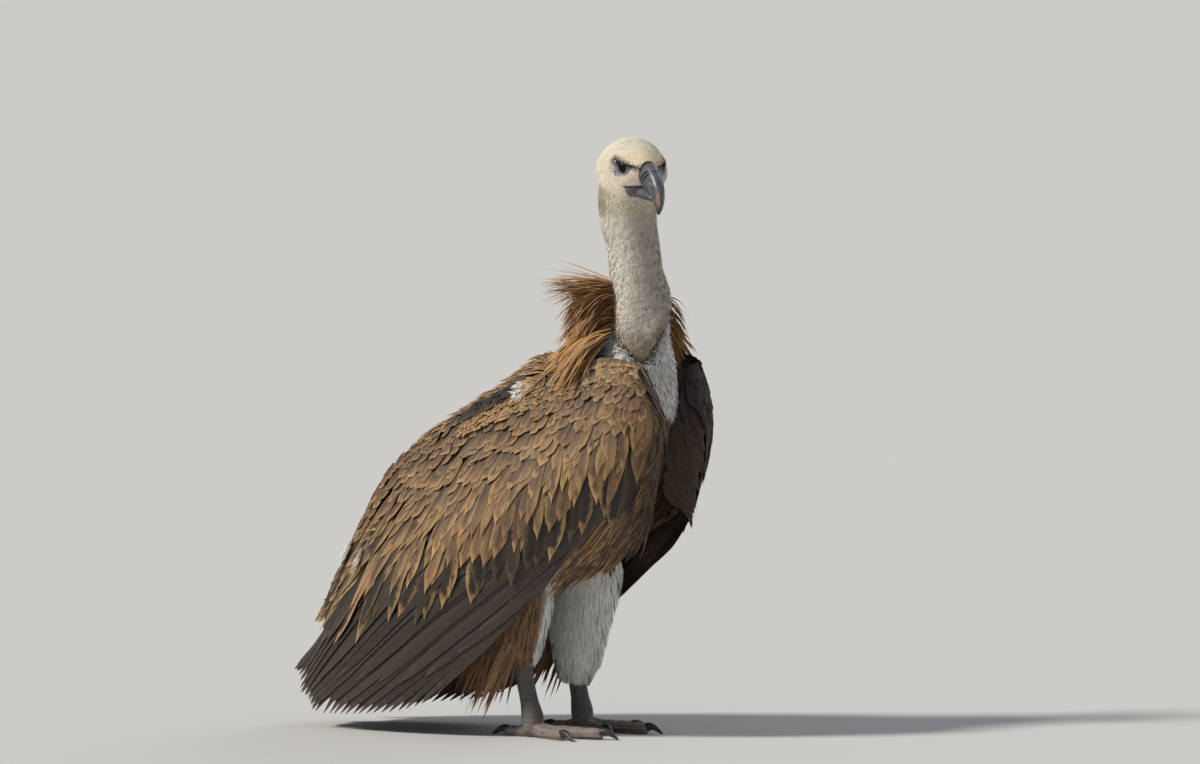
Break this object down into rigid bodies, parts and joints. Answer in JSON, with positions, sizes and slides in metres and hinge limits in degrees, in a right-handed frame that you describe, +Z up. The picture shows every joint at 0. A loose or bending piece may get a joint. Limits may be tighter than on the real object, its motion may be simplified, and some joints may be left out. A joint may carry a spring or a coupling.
{
  "type": "griffon vulture",
  "caption": "Life-size griffon vulture standing with folded wings, downy head turned to its right, brown ruff, pale trousers and dark flight feathers.",
  "frame": {"origin": "centre of the bounding box, at the level of the floor under the feet", "axes": "+Z up, the bird faces -Y and its left side is at +X"},
  "size_m": [0.3162, 0.567, 0.7988],
  "materials": {
    "down": "short soft down",
    "plume": "long loose plumes",
    "plumage": "overlapping contour feathers",
    "trousers": "soft leg feathers",
    "flight": "stiff flight feathers",
    "horn": "satin horn",
    "eye": "wet gloss",
    "scutes": "dry scaled skin",
    "claw": "worn satin horn"
  },
  "bodies": {
    "root": {"head": "down", "neck": "down", "cere": "horn", "bill_upper": "horn", "bill_lower": "horn", "eye_right": "eye", "eye_left": "eye", "ruff": "plume", "trunk": "plumage", "tail": "flight", "wing_right_shoulder": "plumage", "wing_right_coverts": "plumage", "wing_right_tertials": "plumage", "wing_right_secondaries": "flight", "wing_right_primaries": "flight", "thigh_right": "trousers", "foot_right": "scutes", "claw_right_inner": "claw", "claw_right_middle": "claw", "claw_right_outer": "claw", "claw_right_hind": "claw", "wing_left_shoulder": "plumage", "wing_left_coverts": "plumage", "wing_left_tertials": "plumage", "wing_left_secondaries": "flight", "wing_left_primaries": "flight", "thigh_left": "trousers", "foot_left": "scutes", "claw_left_inner": "claw", "claw_left_middle": "claw", "claw_left_outer": "claw", "claw_left_hind": "claw"}
  },
  "joints": []
}
